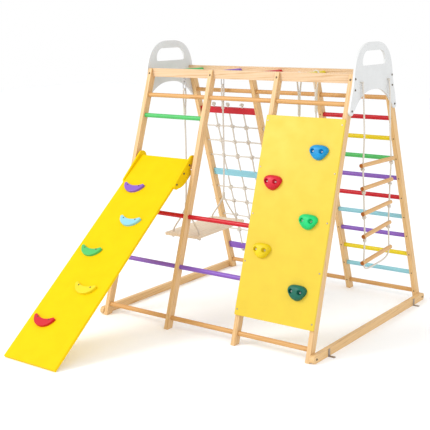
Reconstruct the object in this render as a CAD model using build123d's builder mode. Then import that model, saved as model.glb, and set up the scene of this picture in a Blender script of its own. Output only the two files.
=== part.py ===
from build123d import *
import os
from math import asin, atan2, copysign, cos, hypot, pi, radians, sin, tan

os.makedirs("parts", exist_ok=True)

# ---------------------------------------------------------------- driving dimensions (mm)
# The A-frame: four pairs of leaning legs in a row along X, front legs towards -Y.
LEG_PITCH = 433.0
LEG_WIDTH = 25.0
LEG_DEPTH = 42.0
FRAME_HEIGHT = 1360.0
BASE_HALF = 643.0
TOP_HALF = 208.0
BEAM_HEIGHT = 48.0
BEAM_DEPTH = 24.0
BEAM_FACE = 200.0
EDGE_RADIUS = 1.5

# Round bars
RUNG_DIAMETER = 25.0
RUNG_SEAT = 18.0
RUNG_LOWEST = 56.0
RUNG_PITCH = 115.3
MONKEY_BAR_PITCH = 280.0
FIT = 0.05

# Net bay
PLANK_HEIGHT = 40.0
PLANK_THICKNESS = 14.0
PLANK_LEVELS = {"top": 1090.0, "middle": 680.0, "bottom": 170.0}
NET_ROPE = 10.0
NET_PITCH = 104.0
NET_ROWS_UPPER = (980.0, 883.0, 787.0)
NET_ROWS_LOWER = (574.0, 479.0, 380.0, 282.0)
NET_KNOT = 12.0
NET_BEND = 6.0

# Base rails, end plates and floor brackets
RAIL_HEIGHT = 40.0
RAIL_THICKNESS = 25.0
PLATE_THICKNESS = 12.0
PLATE_TOP = 1516.0
HANDLE_SILL = 1397.0
HANDLE_HEIGHT = 75.0
HANDLE_WIDTH = 260.0
PLATE_BOLT_LEVELS = (1177.0, 1280.0, 1335.0)
BRACKET_REACH = 34.0
BRACKET_WIDTH = 18.0
BRACKET_SHEET = 2.0
BRACKET_Y = 495.0

# Climbing wall
WALL_THICKNESS = 12.0
WALL_START = 155.0
WALL_LENGTH = 1040.0
WALL_SCREW_INSET = 30.0
HOLD_WIDTH = 108.0
HOLD_HEIGHT = 82.0
HOLD_DEPTH = 32.0
HOLD_FIRST = 323.0
HOLD_PITCH = 174.5
HOLD_COLUMNS = (545.0, 307.0)
HOLD_SCREW_SPACING = 50.0

# Slide
SLIDE_BELOW = 1350.0
SLIDE_ABOVE = 30.0
SLIDE_WIDTH = 350.0
BOARD_THICKNESS = 15.0
RUNG_CLEARANCE = 0.3
WING_THICKNESS = 10.0
GRIP_WIDTH = 138.0
GRIP_DROP = 60.0
GRIP_THICKNESS = 14.0
GRIP_FIRST = 225.0
GRIP_PITCH = 226.0
GRIP_COLUMNS = (-77.0, 43.0)

# Swing
ROPE = 10.0
EYE_WIRE = 6.0
EYE_RADIUS = 10.0
SWING_PIVOT_Z = 1285.0
SWING_SHIFT = 17.0
LINK_WIDTH = 24.0
LINK_LENGTH = 56.0
SPLICE_TOP = 1140.0
SPLICE_LENGTH = 40.0
SWING_SPLIT_Z = 552.0
WHIPPING_LENGTH = 40.0
SEAT_TOP = 418.0
SEAT_LENGTH = 530.0
SEAT_WIDTH = 236.0
SEAT_THICKNESS = 14.0
SEAT_HOLE_X = 89.0
SEAT_HOLE_Y = 212.0
SEAT_TWIST = 4.0

# Rope ladder
LADDER_ROPE = 9.0
LADDER_X = 695.0
LADDER_PIVOT_X = 684.0
LADDER_HOLE_Y = 152.0
LADDER_PIVOT_Z = 1314.0
LADDER_ROPE_Y = 145.0
LADDER_RUNG = 22.0
LADDER_RUNG_LENGTH = 325.0
LADDER_LEVELS = (894.0, 778.0, 652.0, 538.0, 402.0)
LADDER_YAW = (4.0, 1.5, 0.0, -1.5, 0.5)
LADDER_TILT = (0.2, 0.8, 2.0, 3.0, 4.0)
LADDER_KNOT = 9.0
LADDER_HOLE_PLAY = 1.5

# Gym rings
RING_ROPE = 9.0
RING_ROPE_Y = 90.0
RING_CENTRE_Z = 790.0
RING_DIAMETER = 150.0
RING_GRIP = 26.0
RING_SPLICE_TOP = 1250.0
RING_SPLICE_BOTTOM = 1120.0

# Fasteners
BOLT_DIAMETER = 6.0
BOLT_HEAD = 12.0
SCREW_DIAMETER = 4.0
SCREW_HEAD = 9.0

# ---------------------------------------------------------------- worked-out sizes
lean = (BASE_HALF - TOP_HALF) / FRAME_HEIGHT
lean_angle = atan2(BASE_HALF - TOP_HALF, FRAME_HEIGHT)
leg_run = LEG_DEPTH / cos(lean_angle)
leg_x = [(i - 1.5) * LEG_PITCH for i in range(4)]
frame_end = leg_x[3] + LEG_WIDTH / 2
beam_z = FRAME_HEIGHT - BEAM_HEIGHT / 2
rung_z = [RUNG_LOWEST + i * RUNG_PITCH for i in range(11)]
front_pitch = (rung_z[9] - rung_z[0]) / 4
slide_rung_z = rung_z[0] + 3 * front_pitch
rung_radius = RUNG_DIAMETER / 2
rope_radius = ROPE / 2


def front_of_leg(z):
    """Y of the front legs' outer face at height z, from the A-frame's centre."""
    return lean * z - BASE_HALF


def leg_axis(z):
    """Y of the front legs' middle line at height z, from the A-frame's centre."""
    return front_of_leg(z) + leg_run / 2


# The slide leans from the hooked rung to the floor, resting on its lower back edge.
board_back = rung_radius + RUNG_CLEARANCE
board_top = board_back + BOARD_THICKNESS
slide_angle = asin(slide_rung_z / hypot(SLIDE_BELOW, board_back)) + atan2(board_back, SLIDE_BELOW)
slide_rung_y = leg_axis(slide_rung_z)
slide_reach = SLIDE_BELOW * cos(slide_angle) + board_top * sin(slide_angle) - slide_rung_y
slide_x = (leg_x[0] + leg_x[1]) / 2

# The origin lies on the floor under the middle of the whole object, slide included.
mid_y = (slide_reach - BASE_HALF) / 2

# ---------------------------------------------------------------- planes
across = Plane(origin=(0, mid_y, 0), x_dir=(0, 1, 0), z_dir=(1, 0, 0))
along = Plane(origin=(0, mid_y, 0), x_dir=(-1, 0, 0), z_dir=(0, 1, 0))
front_face = Plane(
    origin=(0, mid_y - BASE_HALF, 0),
    x_dir=(1, 0, 0),
    z_dir=(0, -cos(lean_angle), sin(lean_angle)),
)
rear_face = Plane(
    origin=(0, mid_y + BASE_HALF, 0),
    x_dir=(-1, 0, 0),
    z_dir=(0, cos(lean_angle), sin(lean_angle)),
)
slide_face = Plane(
    origin=(slide_x, mid_y + slide_rung_y, slide_rung_z),
    x_dir=(1, 0, 0),
    z_dir=(0, -sin(slide_angle), cos(slide_angle)),
)


def facing(x, y, z, direction):
    """A plane at a point given from the A-frame's centre, facing the given direction."""
    return Plane(origin=(x, mid_y + y, z), z_dir=direction)


def button_bolt(seat, length, diameter=BOLT_DIAMETER, head=BOLT_HEAD):
    """A button-headed bolt: its head lies on the plane and its shank goes in behind it."""
    with Locations(seat):
        Cylinder(diameter / 2, length, align=(Align.CENTER, Align.CENTER, Align.MAX))
        Cone(head / 2, head / 3, head / 4, align=(Align.CENTER, Align.CENTER, Align.MIN))


def rod(start, end, diameter):
    """A straight round rod between two points."""
    reach = Vector(*end) - Vector(*start)
    with Locations(Plane(origin=start, z_dir=reach)):
        Cylinder(diameter / 2, reach.length, align=(Align.CENTER, Align.CENTER, Align.MIN))


def rope_tube(points, diameter):
    """Plain rope: straight runs joined by arcs as large as the runs allow.

    The points are given from the A-frame's centre.
    """
    corners = [Vector(x, y + mid_y, z) for x, y, z in points]
    start = corners[0]
    radii = []
    with BuildPart() as tube:
        with BuildLine() as route:
            for before, corner, after in zip(corners, corners[1:], corners[2:]):
                back = (before - corner).normalized()
                ahead = (after - corner).normalized()
                half_turn = radians((corner - before).get_angle(after - corner)) / 2
                reach = 0.45 * min((corner - before).length, (after - corner).length)
                radius = reach / tan(half_turn)
                bulge = radius * (1 / cos(half_turn) - 1)
                enter = corner + back * reach
                leave = corner + ahead * reach
                Line(start, enter)
                ThreePointArc(enter, corner + (back + ahead).normalized() * bulge, leave)
                start = leave
                radii.append(round(radius))
            Line(start, corners[-1])
        with BuildSketch(Plane(origin=corners[0], z_dir=corners[1] - corners[0])):
            Circle(diameter / 2)
        sweep()
    length = sum(edge.length for edge in route.edges())
    solid = tube.part.volume / (pi * diameter**2 / 4)
    print(f"rope {diameter:g} mm: length {length:.0f}, by volume {solid:.0f}, radii {radii}")
    return tube.part


# ---------------------------------------------------------------- legs
# Every rung is given by its first and last leg and its height.
front_rungs = {
    "bottom": (0, 3, rung_z[0]),
    "purple": (0, 2, rung_z[0] + front_pitch),
    "red": (0, 2, rung_z[0] + 2 * front_pitch),
    "slide": (0, 1, slide_rung_z),
    "green": (0, 1, rung_z[9]),
    "top": (0, 3, rung_z[10]),
}
ladder_colours = ["cyan", "yellow", "purple", "cyan", "red", "purple", "green", "yellow", "red"]
ladder_rungs = [(2, 3, z) for z in rung_z[1:10]]
rear_rungs = [(0, 3, rung_z[0]), (0, 3, rung_z[10])] + ladder_rungs


def rung_span(first, last):
    """Where a rung starts and ends along X, seated in its two end legs."""
    start = leg_x[first] + LEG_WIDTH / 2 - RUNG_SEAT
    end = leg_x[last] - LEG_WIDTH / 2 + RUNG_SEAT
    return start, end


shoulder_z = FRAME_HEIGHT - BEAM_HEIGHT
leg_outline = [
    (BASE_HALF, 0),
    (TOP_HALF, FRAME_HEIGHT),
    (BEAM_FACE, FRAME_HEIGHT),
    (BEAM_FACE, shoulder_z),
    (-front_of_leg(shoulder_z) - leg_run, shoulder_z),
    (BASE_HALF - leg_run, 0),
]

for row, side, rungs in (("front", -1, list(front_rungs.values())), ("rear", 1, rear_rungs)):
    for number, x in enumerate(leg_x):
        with BuildPart() as leg:
            with BuildSketch(across.offset(x)):
                with BuildLine():
                    Polyline(*[(side * y, z) for y, z in leg_outline], close=True)
                make_face()
            extrude(amount=LEG_WIDTH / 2, both=True)
            fillet(leg.edges(), EDGE_RADIUS)
            for first, last, z in rungs:
                if first <= number <= last:
                    start, end = rung_span(first, last)
                    with BuildSketch(across.offset(start)):
                        with Locations((-side * leg_axis(z), z)):
                            Circle(rung_radius + FIT)
                    extrude(amount=end - start, mode=Mode.SUBTRACT)
        leg.part.label = f"leg_{row}_{number + 1}"
        export_step(leg.part, f"parts/{leg.part.label}.step")

# ---------------------------------------------------------------- top beams and monkey bars
beam_y = BEAM_FACE - BEAM_DEPTH / 2
beam_inner_y = BEAM_FACE - BEAM_DEPTH
bar_seat = 14.0
bar_x = [(i - 2) * MONKEY_BAR_PITCH for i in range(5)]

for row, side in (("front", -1), ("rear", 1)):
    with BuildPart() as beam:
        with BuildSketch(across.offset(-frame_end)):
            with Locations((side * beam_y, beam_z)):
                Rectangle(BEAM_DEPTH, BEAM_HEIGHT)
        extrude(amount=2 * frame_end)
        fillet(beam.edges().filter_by(Axis.X), EDGE_RADIUS)
        with Locations(*[facing(x, side * beam_inner_y, beam_z, (0, -side, 0)) for x in bar_x]):
            Hole(rung_radius + FIT, bar_seat)
    beam.part.label = f"top_beam_{row}"
    export_step(beam.part, f"parts/{beam.part.label}.step")

for number, x in enumerate(bar_x):
    with BuildPart() as bar:
        with BuildSketch(along):
            with Locations((-x, beam_z)):
                Circle(rung_radius)
        extrude(amount=beam_inner_y + bar_seat - FIT, both=True)
        chamfer(bar.edges().filter_by(GeomType.CIRCLE), 1)
    bar.part.label = f"monkey_bar_{number + 1}"
    export_step(bar.part, f"parts/{bar.part.label}.step")


# ---------------------------------------------------------------- rungs
def rung_bar(first, last, side, z):
    """A round bar along X, added to the part being built."""
    start, end = rung_span(first, last)
    y = mid_y - side * leg_axis(z)
    rod((start + FIT, y, z), (end - FIT, y, z), RUNG_DIAMETER)


for name in ("purple", "red", "slide", "green"):
    first, last, z = front_rungs[name]
    with BuildPart() as rung:
        rung_bar(first, last, -1, z)
    rung.part.label = f"rung_front_{name}"
    export_step(rung.part, f"parts/{rung.part.label}.step")

for name in ("bottom", "top"):
    with BuildPart() as pair:
        for side in (-1, 1):
            rung_bar(*front_rungs[name][:2], side, front_rungs[name][2])
    pair.part.label = f"rungs_{name}"
    export_step(pair.part, f"parts/{pair.part.label}.step")

for colour in sorted(set(ladder_colours)):
    with BuildPart() as group:
        for (first, last, z), paint in zip(ladder_rungs, ladder_colours):
            if paint == colour:
                rung_bar(first, last, 1, z)
    group.part.label = f"ladder_rungs_{colour}"
    export_step(group.part, f"parts/{group.part.label}.step")

# ---------------------------------------------------------------- climbing net and its planks
net_x = slide_x
net_plane = rear_face.offset(-LEG_DEPTH / 2)
net_columns = [net_x - NET_PITCH, net_x, net_x + NET_PITCH]
net_rows = NET_ROWS_UPPER + NET_ROWS_LOWER
net_half_width = (LEG_PITCH - LEG_WIDTH) / 2


def up_leg(z):
    """Distance up the leaning plane to height z."""
    return z / cos(lean_angle)


def net_point(x, z):
    """A point of the net's leaning plane at X and height z."""
    return net_plane.from_local_coords((-x, up_leg(z), 0))


for name, z in PLANK_LEVELS.items():
    with BuildPart() as plank:
        with BuildSketch(net_plane):
            with Locations((-net_x, up_leg(z))):
                Rectangle(2 * net_half_width, PLANK_HEIGHT)
        extrude(amount=PLANK_THICKNESS / 2, both=True)
        fillet(plank.edges().filter_by(Axis.X), EDGE_RADIUS)
        for x in net_columns:
            hole_top = Plane(origin=net_point(x, z), z_dir=net_plane.y_dir).offset(PLANK_HEIGHT / 2)
            with Locations(hole_top):
                Hole(NET_ROPE / 2 + FIT, PLANK_HEIGHT)
    plank.part.label = f"net_plank_{name}"
    export_step(plank.part, f"parts/{plank.part.label}.step")


def net_sway(row, column):
    """How far a knot sits from its even place, a few millimetres either way."""
    return 4 * sin(2.1 * row + 1.3 * column), 3 * sin(1.7 * row + 2.6 * column)


def net_knot(row, column):
    """The knot where a row and a column of the net cross."""
    sway_x, sway_z = net_sway(row, column)
    return net_point(net_columns[column] + sway_x, net_rows[row] + sway_z)


knot_reach = PLANK_HEIGHT / 2 + NET_KNOT + FIT
net_top_z = PLANK_LEVELS["top"] + knot_reach * cos(lean_angle)
net_bottom_z = PLANK_LEVELS["bottom"] - knot_reach * cos(lean_angle)
clear_of_plank = (PLANK_HEIGHT / 2 + NET_BEND + 1) * cos(lean_angle)


def knot_seat(centre):
    """A knot's plane, across the net and turned between its two ropes."""
    between_ropes = net_plane.x_dir + net_plane.y_dir
    return Plane(origin=centre, x_dir=between_ropes, z_dir=net_plane.z_dir)


with BuildPart() as net:
    for column, x in enumerate(net_columns):
        knots = [net_knot(row, column) for row in range(len(net_rows))]
        above = [net_point(x, PLANK_LEVELS["middle"] + clear_of_plank)]
        below = [net_point(x, PLANK_LEVELS["middle"] - clear_of_plank)]
        head = [net_point(x, z) for z in (net_top_z, PLANK_LEVELS["top"] - clear_of_plank)]
        foot = [net_point(x, z) for z in (PLANK_LEVELS["bottom"] + clear_of_plank, net_bottom_z)]
        line = head + knots[:3] + above + below + knots[3:] + foot
        for start, end in zip(line, line[1:]):
            rod(start, end, NET_ROPE)
        with Locations(*[knot_seat(centre) for centre in knots + [line[0], line[-1]]]):
            Sphere(NET_KNOT)
        with Locations(*[knot_seat(centre) for centre in (head[1], above[0], below[0], foot[0])]):
            Sphere(NET_BEND)
    for row, z in enumerate(net_rows):
        inner = [net_knot(row, column) for column in range(len(net_columns))]
        left = net_point(net_x - net_half_width + 0.3, z)
        right = net_point(net_x + net_half_width - 0.3, z)
        line = [left] + inner + [right]
        for start, end in zip(line, line[1:]):
            rod(start, end, NET_ROPE)
net.part.label = "climbing_net"
export_step(net.part, "parts/climbing_net.step")

# ---------------------------------------------------------------- base rails and brackets
for name, side in (("left", -1), ("right", 1)):
    with BuildPart() as rail:
        with BuildSketch(across.offset(side * frame_end)):
            with Locations((0, RAIL_HEIGHT / 2)):
                SlotOverall(2 * BASE_HALF, RAIL_HEIGHT)
        extrude(amount=side * RAIL_THICKNESS)
        fillet(rail.edges().group_by(Axis.X)[0] + rail.edges().group_by(Axis.X)[-1], EDGE_RADIUS)
    rail.part.label = f"base_rail_{name}"
    export_step(rail.part, f"parts/{rail.part.label}.step")

rail_face = frame_end + RAIL_THICKNESS
bracket_height = 38.0
bracket_screw_z = 22.0
with BuildPart() as brackets:
    for side in (-1, 1):
        for y in (-BRACKET_Y, BRACKET_Y):
            with Locations((side * (rail_face + BRACKET_SHEET / 2), mid_y + y, bracket_height / 2)):
                Box(BRACKET_SHEET, BRACKET_WIDTH, bracket_height)
            with Locations((side * (rail_face + BRACKET_REACH / 2), mid_y + y, BRACKET_SHEET / 2)):
                Box(BRACKET_REACH, BRACKET_WIDTH, BRACKET_SHEET)
            with Locations((side * (rail_face + BRACKET_REACH * 0.65), mid_y + y, BRACKET_SHEET)):
                Hole(SCREW_DIAMETER / 2, BRACKET_SHEET)
            button_bolt(
                facing(side * (rail_face + BRACKET_SHEET), y, bracket_screw_z, (side, 0, 0)),
                BRACKET_SHEET + 1,
                SCREW_DIAMETER,
                SCREW_HEAD,
            )
brackets.part.label = "floor_brackets"
export_step(brackets.part, "parts/floor_brackets.step")

# ---------------------------------------------------------------- end plates
tip_z = 1176.0
crown = [(0, PLATE_TOP), (76, 1512), (140, 1488), (191, 1432), (213, 1368)]
arch = [(226, 1170), (188, 1205), (105, 1256), (0, 1272)]
leg_line_z = 1290.0
leg_line = (-front_of_leg(leg_line_z), leg_line_z)
tip_outer = (-front_of_leg(tip_z), tip_z)
tip_bottom = (248, 1154)
handle_top_radius = 58.0
handle_low_radius = 14.0

for name, side in (("left", -1), ("right", 1)):
    with BuildPart() as plate:
        with BuildSketch(across.offset(side * frame_end)):
            with BuildLine():
                Spline(*crown, leg_line, tangents=[(1, 0), (lean, -1)])
                Line(leg_line, tip_outer)
                ThreePointArc(tip_outer, tip_bottom, arch[0])
                Spline(*arch, tangents=[(-1, 0.8), (-1, 0)])
                mirror(about=Plane.YZ)
            make_face()
        extrude(amount=side * PLATE_THICKNESS)
        with BuildSketch(across.offset(side * frame_end)) as handle:
            with Locations((0, HANDLE_SILL + HANDLE_HEIGHT / 2)):
                Rectangle(HANDLE_WIDTH, HANDLE_HEIGHT)
            fillet(handle.vertices().group_by(Axis.Y)[-1], handle_top_radius)
            fillet(handle.vertices().group_by(Axis.Y)[0], handle_low_radius)
        extrude(amount=side * PLATE_THICKNESS, mode=Mode.SUBTRACT)
        fillet(plate.edges().group_by(Axis.X)[0] + plate.edges().group_by(Axis.X)[-1], EDGE_RADIUS)
        if side > 0:
            plate_face = frame_end + PLATE_THICKNESS
            rope_holes = [
                facing(plate_face, y, LADDER_PIVOT_Z, (1, 0, 0)) for y in (-LADDER_HOLE_Y, LADDER_HOLE_Y)
            ]
            with Locations(*rope_holes):
                Hole(LADDER_ROPE / 2 + FIT, PLATE_THICKNESS)
    plate.part.label = f"end_plate_{name}"
    export_step(plate.part, f"parts/{plate.part.label}.step")

# ---------------------------------------------------------------- climbing wall and holds
wall_x = (leg_x[2] + leg_x[3]) / 2
wall_face = front_face.offset(WALL_THICKNESS)

with BuildPart() as wall:
    with BuildSketch(front_face):
        with Locations((wall_x, WALL_START + WALL_LENGTH / 2)):
            RectangleRounded(LEG_PITCH + LEG_WIDTH, WALL_LENGTH, 5)
    extrude(amount=WALL_THICKNESS)
    fillet(wall.faces().sort_by(Axis.Y)[0].edges(), EDGE_RADIUS)
wall.part.label = "climbing_wall"
export_step(wall.part, "parts/climbing_wall.step")


def lobed_outline(scale):
    """Points round a soft oval with three shallow lobes, one of them pointing down."""
    turns = [2 * pi * step / 18 for step in range(18)]
    swells = [scale * (1 + 0.10 * cos(3 * (turn + pi / 2))) for turn in turns]
    return [
        (HOLD_WIDTH / 2 * swell * cos(turn), HOLD_HEIGHT / 2 * swell * sin(turn))
        for turn, swell in zip(turns, swells)
    ]


def hold_seat(number):
    """The plane on the wall that a hold is screwed to, lowest hold first."""
    place = wall_face.from_local_coords((HOLD_COLUMNS[number % 2], HOLD_FIRST + number * HOLD_PITCH, 0))
    return Plane(origin=place, x_dir=(1, 0, 0), z_dir=wall_face.z_dir)


for number in range(5):
    with BuildPart() as hold:
        for height, scale in ((0, 0.94), (0.45, 0.9), (1, 0.5)):
            with BuildSketch(hold_seat(number).offset(height * HOLD_DEPTH)):
                with BuildLine():
                    Spline(*lobed_outline(scale), periodic=True)
                make_face()
        loft()
        with Locations(hold_seat(number).offset(HOLD_DEPTH)):
            with Locations((-HOLD_SCREW_SPACING / 2, 0), (HOLD_SCREW_SPACING / 2, 0)):
                CounterBoreHole(SCREW_DIAMETER / 2, 8, 20, HOLD_DEPTH)
    hold.part.label = f"climbing_hold_{number + 1}"
    export_step(hold.part, f"parts/{hold.part.label}.step")

# ---------------------------------------------------------------- slide
with BuildPart() as board:
    with BuildSketch(slide_face.offset(board_back)):
        with Locations((0, (SLIDE_ABOVE - SLIDE_BELOW) / 2)):
            Rectangle(SLIDE_WIDTH, SLIDE_ABOVE + SLIDE_BELOW)
    extrude(amount=BOARD_THICKNESS)
    fillet(board.edges().group_by(Axis.Z)[-1], EDGE_RADIUS)
board.part.label = "slide_board"
export_step(board.part, "parts/slide_board.step")

slot = rung_radius + RUNG_CLEARANCE
wing_bolts = (-152.0, -70.0, -6.0)


def wing_plane(side, offset):
    """The side plane of the slide: X up the slope, Y out of the board, origin at the rung."""
    return Plane(
        origin=slide_face.origin + Vector(side * (SLIDE_WIDTH / 2 + offset), 0, 0),
        x_dir=slide_face.y_dir,
        z_dir=(1, 0, 0),
    )


for name, side in (("left", -1), ("right", 1)):
    with BuildPart() as wing:
        with BuildSketch(wing_plane(side, 0)):
            with BuildLine():
                Line((-168, 33), (32, 47))
                ThreePointArc((32, 47), (63, 18), (42, -18))
                Polyline((42, -18), (slot, -18), (slot, 0))
                ThreePointArc((slot, 0), (0, slot), (-slot, 0))
                Polyline((-slot, 0), (-slot, -29), (-88, -29))
                ThreePointArc((-88, -29), (-132, -20), (-160, -4))
                ThreePointArc((-160, -4), (-178, 14), (-168, 33))
            make_face()
        extrude(amount=side * WING_THICKNESS)
    wing.part.label = f"slide_wing_{name}"
    export_step(wing.part, f"parts/{wing.part.label}.step")

grip_places = [
    (GRIP_COLUMNS[number % 2], GRIP_FIRST + number * GRIP_PITCH - SLIDE_BELOW) for number in range(5)
]
grip_half = GRIP_WIDTH / 2
grip_tip = GRIP_DROP / 2
with BuildPart() as grips:
    with BuildSketch(slide_face.offset(board_top)) as crescents:
        with Locations(*grip_places):
            with BuildSketch(mode=Mode.PRIVATE) as crescent:
                with BuildLine():
                    ThreePointArc((-grip_half, grip_tip - 4), (0, -grip_tip), (grip_half, grip_tip - 4))
                    Line((grip_half, grip_tip - 4), (grip_half - 11, grip_tip + 2))
                    ThreePointArc(
                        (grip_half - 11, grip_tip + 2), (0, grip_tip - 17), (11 - grip_half, grip_tip + 2)
                    )
                    Line((11 - grip_half, grip_tip + 2), (-grip_half, grip_tip - 4))
                make_face()
                fillet(crescent.vertices(), 3)
            add(crescent.sketch)
    extrude(amount=GRIP_THICKNESS)
grips.part.label = "slide_grips"
export_step(grips.part, "parts/slide_grips.step")

with BuildPart() as slide_screws:
    for side in (-1, 1):
        outer = wing_plane(side, WING_THICKNESS)
        for up in wing_bolts:
            seat = outer.from_local_coords((up, board_back + BOARD_THICKNESS / 2, 0))
            button_bolt(Plane(origin=seat, z_dir=(side, 0, 0)), 45)
    for x, up in grip_places:
        for screw_x in (-40, 40):
            seat = slide_face.from_local_coords((x + screw_x, up + 13, board_top + GRIP_THICKNESS))
            button_bolt(Plane(origin=seat, z_dir=slide_face.z_dir), 26, SCREW_DIAMETER, 8)
slide_screws.part.label = "slide_screws"
export_step(slide_screws.part, "parts/slide_screws.step")

# ---------------------------------------------------------------- frame bolts and wall screws
leg_bolt_z = 1332.0
rail_bolt_y = BASE_HALF - leg_run / 2 - lean * RAIL_HEIGHT / 2
with BuildPart() as bolts:
    for side, face in ((-1, front_face), (1, rear_face)):
        for x in leg_x:
            seat = face.from_local_coords((-side * x, up_leg(leg_bolt_z), 0))
            button_bolt(Plane(origin=seat, z_dir=face.z_dir), 32)
    for end in (-1, 1):
        for side in (-1, 1):
            button_bolt(facing(end * rail_face, side * rail_bolt_y, RAIL_HEIGHT / 2, (end, 0, 0)), 45)
            for z in PLATE_BOLT_LEVELS:
                y = -leg_axis(z) if z < shoulder_z else (BEAM_FACE - front_of_leg(z)) / 2
                button_bolt(facing(end * (frame_end + PLATE_THICKNESS), side * y, z, (end, 0, 0)), 32)
bolts.part.label = "frame_bolts"
export_step(bolts.part, "parts/frame_bolts.step")

wall_screw_pitch = (WALL_LENGTH - 2 * WALL_SCREW_INSET) / 4
with BuildPart() as wall_screws:
    for x in leg_x[2:]:
        for step in range(5):
            up = WALL_START + WALL_SCREW_INSET + step * wall_screw_pitch
            seat = wall_face.from_local_coords((x, up, 0))
            button_bolt(Plane(origin=seat, z_dir=wall_face.z_dir), 34, SCREW_DIAMETER, SCREW_HEAD)
wall_screws.part.label = "wall_screws"
export_step(wall_screws.part, "parts/wall_screws.step")

# ---------------------------------------------------------------- swing
swing_x = slide_x + SWING_SHIFT
eye_z = SWING_PIVOT_Z + EYE_RADIUS
eye_neck = 8.0
with BuildPart() as eyes:
    for side in (-1, 1):
        with Locations(facing(swing_x, side * beam_y, eye_z, (1, 0, 0))):
            Torus(EYE_RADIUS, EYE_WIRE / 2)
        top = (swing_x, mid_y + side * beam_y, shoulder_z)
        rod((top[0], top[1], eye_z + EYE_RADIUS), top, eye_neck)
        rod(top, (top[0], top[1], shoulder_z + 28), EYE_WIRE)
eyes.part.label = "swing_eye_bolts"
export_step(eyes.part, "parts/swing_eye_bolts.step")

# Each link hangs on its eye's wire, turns about it, and carries a rope's eye at its lower end.
link_top = SWING_PIVOT_Z + EYE_WIRE + RUNG_CLEARANCE
link_half = (LINK_WIDTH - EYE_WIRE) / 2
link_bottom = link_top - LINK_LENGTH + EYE_WIRE
with BuildPart() as links:
    for side in (-1, 1):
        with BuildLine(along.offset(side * beam_y)) as oval:
            low = link_bottom + link_half
            high = link_top - link_half
            left = -swing_x - link_half
            right = -swing_x + link_half
            Line((left, low), (left, high))
            ThreePointArc((left, high), (-swing_x, link_top), (right, high))
            Line((right, high), (right, low))
            ThreePointArc((right, low), (-swing_x, link_bottom), (left, low))
        with BuildSketch(Plane(origin=oval.line @ 0, z_dir=oval.line % 0)):
            Circle(EYE_WIRE / 2)
        sweep()
links.part.label = "swing_links"
export_step(links.part, "parts/swing_links.step")

seat_turn = radians(SEAT_TWIST)


def seat_hole(x, y):
    """A rope hole of the seat, turned with the seat, from the A-frame's centre."""
    return (
        swing_x + x * cos(seat_turn) - y * sin(seat_turn),
        x * sin(seat_turn) + y * cos(seat_turn),
    )


seat_plane = Plane(
    origin=(swing_x, mid_y, SEAT_TOP - SEAT_THICKNESS),
    x_dir=(cos(seat_turn), sin(seat_turn), 0),
    z_dir=(0, 0, 1),
)
with BuildPart() as seat_board:
    with BuildSketch(seat_plane):
        RectangleRounded(SEAT_WIDTH, SEAT_LENGTH, 18)
        with GridLocations(2 * SEAT_HOLE_X, 2 * SEAT_HOLE_Y, 2, 2):
            Circle(rope_radius + 0.3, mode=Mode.SUBTRACT)
    extrude(amount=SEAT_THICKNESS)
    fillet(seat_board.edges().group_by(Axis.Z)[0] + seat_board.edges().group_by(Axis.Z)[-1], 1)
seat_board.part.label = "swing_seat"
export_step(seat_board.part, "parts/swing_seat.step")

splice_bottom = SPLICE_TOP - SPLICE_LENGTH
whipping_top = SWING_SPLIT_Z + WHIPPING_LENGTH
seat_knot = 11.0
eye_top = link_bottom + EYE_WIRE / 2 + rope_radius + 2


def swing_eye(y):
    """The rope's spliced eye round the link's lower end."""
    return [
        (swing_x, y - 5.3, SPLICE_TOP - 8),
        (swing_x, y - 12.5, SPLICE_TOP + 50),
        (swing_x, y - 9.5, eye_top),
        (swing_x, y + 9.5, eye_top),
        (swing_x, y + 12.5, SPLICE_TOP + 50),
        (swing_x, y + 5.3, SPLICE_TOP - 8),
    ]


def swing_drop(y):
    """The single rope from the splice down to where its two legs part, with a slight bow."""
    return [
        (swing_x, y, splice_bottom + 6),
        (swing_x + 1.5, y + 2, 980),
        (swing_x + 2.5, y + 3.5, 860),
        (swing_x + 2, y + 3, 740),
        (swing_x, y, whipping_top - 6),
    ]


def swing_leg(y, hole):
    """One leg of the rope, from the whipping through its hole in the seat."""
    return [
        (swing_x + copysign(5.3, hole[0] - swing_x), y, SWING_SPLIT_Z + 5),
        (swing_x + 0.33 * (hole[0] - swing_x), y + 0.28 * (hole[1] - y), 513),
        (swing_x + 0.74 * (hole[0] - swing_x), y + 0.68 * (hole[1] - y), 463),
        (hole[0], hole[1], SEAT_TOP + 12),
        (hole[0], hole[1], SEAT_TOP - SEAT_THICKNESS - seat_knot),
    ]


for name, side in (("front", -1), ("rear", 1)):
    rope_y = side * beam_y
    holes = [seat_hole(x, side * SEAT_HOLE_Y) for x in (-SEAT_HOLE_X, SEAT_HOLE_X)]
    tubes = [rope_tube(swing_eye(rope_y), ROPE), rope_tube(swing_drop(rope_y), ROPE)]
    tubes += [rope_tube(swing_leg(rope_y, hole), ROPE) for hole in holes]
    with BuildPart() as rope:
        add(tubes)
        splice = (swing_x, mid_y + rope_y, splice_bottom)
        rod(splice, (splice[0], splice[1], SPLICE_TOP), 1.6 * ROPE)
        whipping = (swing_x, mid_y + rope_y, SWING_SPLIT_Z)
        rod(whipping, (whipping[0], whipping[1], whipping_top), 1.6 * ROPE)
        for x, y in holes:
            with Locations((x, mid_y + y, SEAT_TOP - SEAT_THICKNESS - seat_knot - FIT)):
                Sphere(seat_knot)
    rope.part.label = f"swing_rope_{name}"
    export_step(rope.part, f"parts/{rope.part.label}.step")

# ---------------------------------------------------------------- rope ladder
ladder_radius = LADDER_ROPE / 2


def ladder_point(number, along_rung, below=0.0):
    """A point on a rung's axis, from the A-frame's centre; rungs hang a little askew."""
    yaw = radians(LADDER_YAW[number])
    tilt = radians(LADDER_TILT[number])
    return (
        LADDER_X + along_rung * sin(yaw),
        along_rung * cos(yaw),
        LADDER_LEVELS[number] + along_rung * sin(tilt) - below,
    )


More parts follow.
